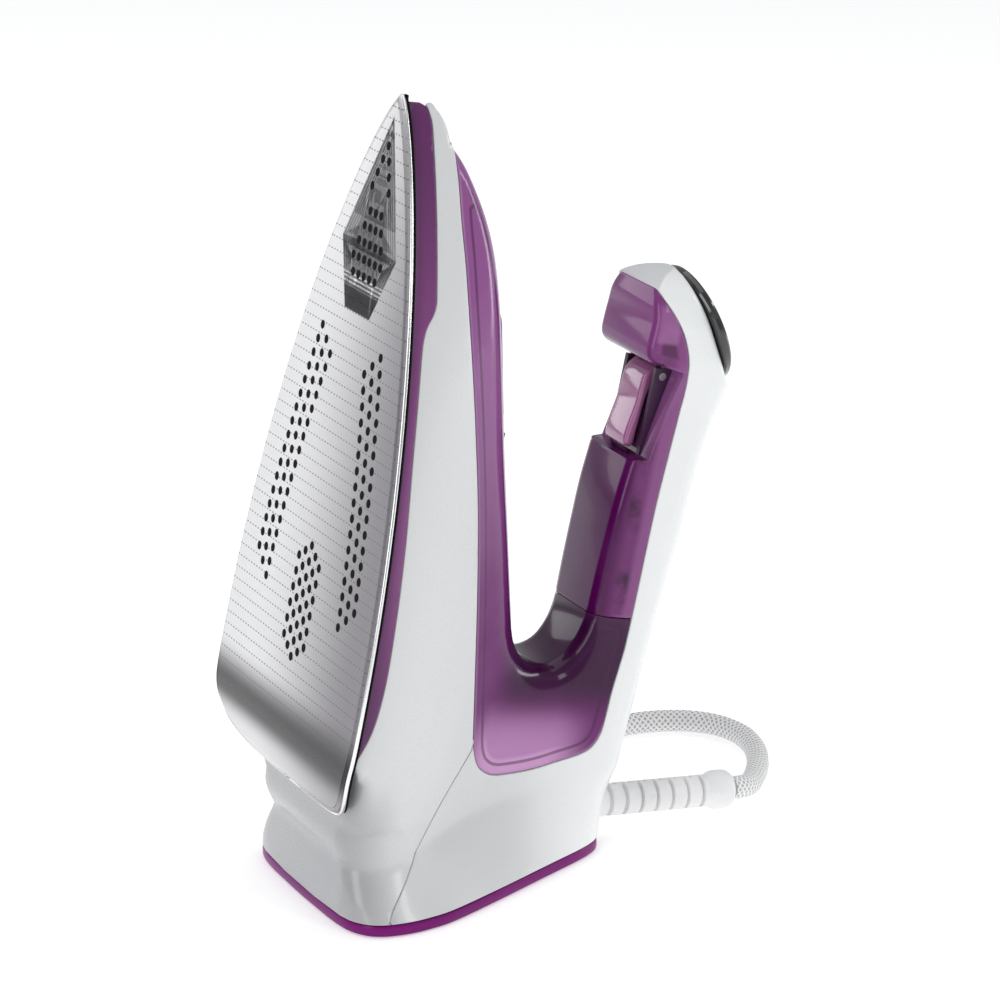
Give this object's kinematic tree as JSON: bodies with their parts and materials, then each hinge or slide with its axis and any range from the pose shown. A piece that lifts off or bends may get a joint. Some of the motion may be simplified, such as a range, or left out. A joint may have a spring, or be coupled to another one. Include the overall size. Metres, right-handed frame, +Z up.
{
  "type": "clothes iron",
  "caption": "Clothes iron standing on its heel: steel soleplate, white casings, clear purple tank and handle, trigger, dial, strain relief and free cord.",
  "frame": {"origin": "middle of the heel's resting face, on the table", "axes": "+Z up towards the sole's tip as the iron stands, +X from the soleplate towards the handle, Y across the width"},
  "size_m": [0.2316, 0.3129, 0.2945],
  "materials": {
    "steel": "satin, brushed, with a bright rim",
    "dark_plate": "satin",
    "casting": "cast",
    "element": "dull",
    "sheet": "satin",
    "brass": "satin",
    "fuse": "satin",
    "shield": "matte",
    "gasket": "matte",
    "purple_satin": "satin",
    "white_gloss": "gloss",
    "purple_trim": "gloss",
    "purple_clear": "gloss, clear",
    "flap_clear": "gloss, clear",
    "cream": "matte",
    "dark_purple": "matte",
    "hose": "satin",
    "pink_gloss": "gloss",
    "pin_steel": "satin",
    "board": "matte",
    "black_gloss": "gloss",
    "lens": "gloss",
    "white_soft": "satin",
    "braid": "braided",
    "brass_pins": "polished"
  },
  "bodies": {
    "iron": {"soleplate": "steel", "tip_inlay": "dark_plate", "heater_block": "casting", "heating_element": "element", "chamber_cover": "sheet", "thermostat": "brass", "thermal_fuse": "fuse", "heat_shield": "shield", "sole_gasket": "gasket", "skirt": "purple_satin", "body_shell": "white_gloss", "heel_shell": "white_gloss", "foot_trim": "purple_trim", "water_tank": "purple_clear", "mouth_seal": "gasket", "flap_pin": "purple_trim", "drip_valve": "cream", "handle_shell": "white_gloss", "handle_underside": "purple_clear", "pump_tray": "dark_purple", "pump_body": "cream", "water_hose": "hose", "steam_hose": "hose", "trigger_pin": "pin_steel", "trigger_spring": "pin_steel", "control_board": "board", "dial_bush": "cream", "terminal_block": "cream", "cord_clamp": "cream", "cord_bushing": "white_soft", "cord": "braid", "cord_coil": "braid", "plug_body": "white_soft", "plug_pins": "brass_pins", "block_screws": "pin_steel", "shell_screws": "pin_steel"},
    "trigger": {"trigger": "pink_gloss"},
    "plunger": {"pump_plunger": "cream"},
    "flap": {"filler_flap": "flap_clear"},
    "dial": {"dial": "black_gloss", "indicator_lens": "lens"}
  },
  "joints": [
    {"name": "trigger_hinge", "type": "hinge", "parent": "iron", "child": "trigger", "pos_m": [0.08183, 0, 0.18246], "axis": [0, -1, 0], "range_deg": [0, 6], "stiffness_Nm_per_rad": 0.4},
    {"name": "pump_slide", "type": "slide", "parent": "iron", "child": "plunger", "axis": [0.9767, 0, -0.2147], "range_m": [0, 0.0024]},
    {"name": "flap_hinge", "type": "hinge", "parent": "iron", "child": "flap", "pos_m": [0.01732, 0, 0.16797], "axis": [0, 1, 0], "range_deg": [0, 70]},
    {"name": "dial_turn", "type": "hinge", "parent": "iron", "child": "dial", "pos_m": [0.09888, 0, 0.19714], "axis": [0.9478, 0, 0.319], "range_deg": [-135, 135]}
  ],
  "couplings": [
    {"joint": "pump_slide", "follows": "trigger_hinge", "m_per_rad": 0.022}
  ]
}
